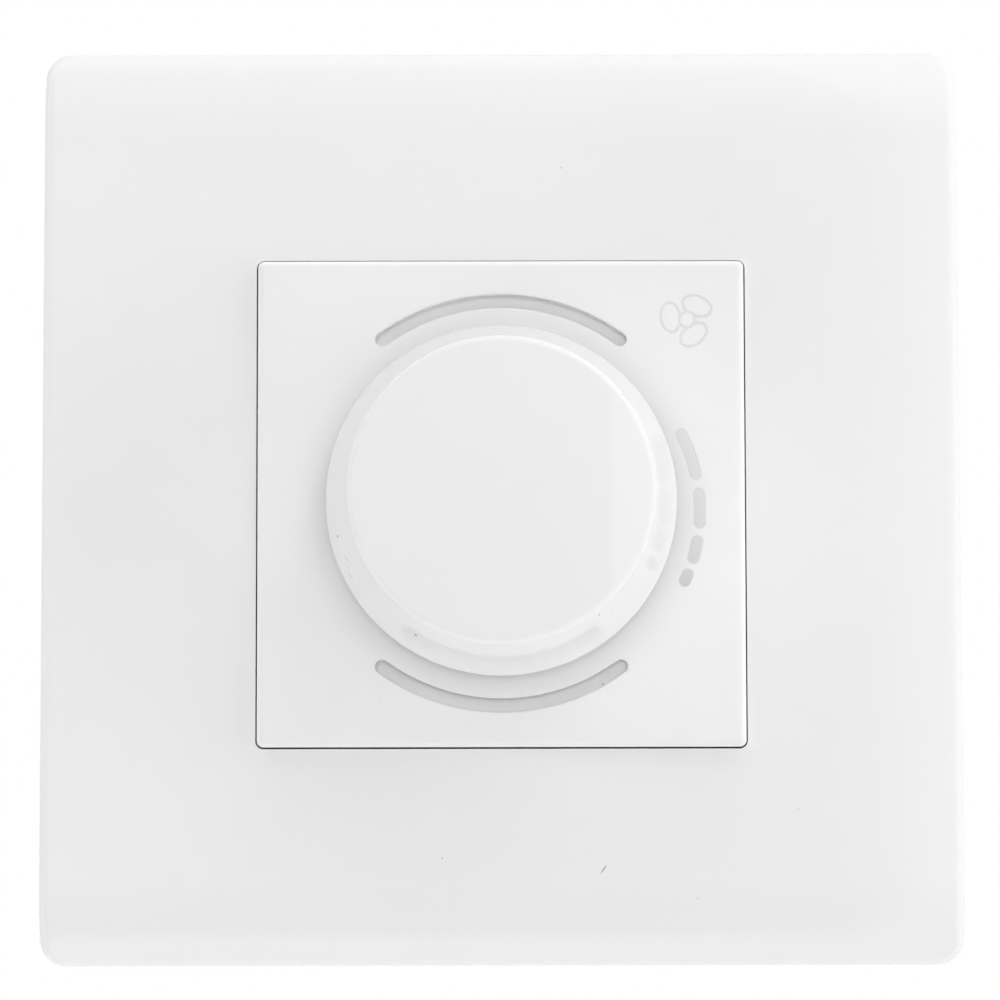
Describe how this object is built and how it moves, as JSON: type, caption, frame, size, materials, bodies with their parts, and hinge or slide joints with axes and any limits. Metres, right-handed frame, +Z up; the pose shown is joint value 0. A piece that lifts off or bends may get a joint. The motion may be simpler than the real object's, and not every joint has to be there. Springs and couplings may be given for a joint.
{
  "type": "fan speed control switch",
  "caption": "Square wall plate with a large round push-and-turn knob, graded speed marks and a boxed electronic module behind, for setting the speed of a fan.",
  "frame": {"origin": "middle of the two wall-box fixing slots, on the wall plane at the back of the mounting frame", "axes": "+X to the right of a person facing the plate, +Y into the wall, +Z up; the plate faces -Y"},
  "size_m": [0.086, 0.0478, 0.086],
  "materials": {
    "plate_white": "smooth glossy moulding",
    "panel_white": "smooth moulding",
    "knob_white": "glossy moulding",
    "mark_grey": "pale grey print",
    "frame_plastic": "fine grained moulding",
    "housing_black": "fine grained moulding",
    "terminal_plastic": "plain moulding",
    "shaft_aluminium": "turned",
    "case_aluminium": "drawn",
    "sink_aluminium": "rolled sheet",
    "bushing_brass": "turned",
    "contact_brass": "stamped",
    "tinned_brass": "tinned",
    "plated_steel": "zinc plated",
    "plated_cap": "nickel plated",
    "spring_steel": "drawn wire",
    "rotor_nylon": "natural nylon",
    "wafer_brown": "laminate",
    "switch_black": "moulded",
    "triac_black": "moulded, metal tab",
    "board_green": "laminate with solder mask",
    "film_yellow": "boxed",
    "timer_red": "dipped",
    "core_ferrite": "painted powder core",
    "winding_copper": "enamelled copper wire",
    "resistor_tan": "lacquered",
    "diac_blue": "small sealed glass diode",
    "fuse_glass": "clear tube"
  },
  "bodies": {
    "base": {"face_plate": "plate_white", "mounting_frame": "frame_plastic", "centre_panel": "panel_white", "speed_marks": "mark_grey", "fan_symbol": "mark_grey", "pot_bushing": "bushing_brass", "lock_washer": "plated_steel", "bushing_nut": "plated_steel", "pot_case": "case_aluminium", "track_wafer": "wafer_brown", "pot_terminals": "tinned_brass", "switch_case": "switch_black", "switch_contacts": "contact_brass", "return_spring": "spring_steel", "heat_sink": "sink_aluminium", "triac": "triac_black", "triac_screw": "plated_steel", "triac_nut": "plated_steel", "circuit_board": "board_green", "film_capacitor": "film_yellow", "timing_capacitor": "timer_red", "choke_core": "core_ferrite", "choke_winding": "winding_copper", "resistors": "resistor_tan", "diac": "diac_blue", "fuse_tube": "fuse_glass", "fuse_caps": "plated_cap", "fuse_clips": "tinned_brass", "terminal_body": "terminal_plastic", "terminal_cages": "contact_brass", "terminal_screws": "plated_steel", "rear_housing": "housing_black", "housing_screws": "plated_steel"},
    "plunger": {"switch_plunger": "rotor_nylon", "contact_bridge": "contact_brass"},
    "knob": {"knob": "knob_white", "pot_shaft": "shaft_aluminium", "shaft_clip": "spring_steel"},
    "rotor": {"wiper_rotor": "rotor_nylon", "wiper_contact": "contact_brass"}
  },
  "joints": [
    {"name": "knob_push", "type": "slide", "parent": "base", "child": "plunger", "axis": [0, 1, 0], "range_m": [0, 0.0015], "stiffness_N_per_m": 1600, "springref_m": -0.001, "deforming": ["return_spring"]},
    {"name": "knob_turn", "type": "hinge", "parent": "plunger", "child": "knob", "pos_m": [0, 0, 0], "axis": [0, 1, 0], "range_deg": [-150, 150]},
    {"name": "rotor_turn", "type": "hinge", "parent": "base", "child": "rotor", "pos_m": [0, 0, 0], "axis": [0, 1, 0], "range_deg": [-150, 150]}
  ],
  "couplings": [
    {"joint": "rotor_turn", "follows": "knob_turn", "ratio": 1}
  ]
}
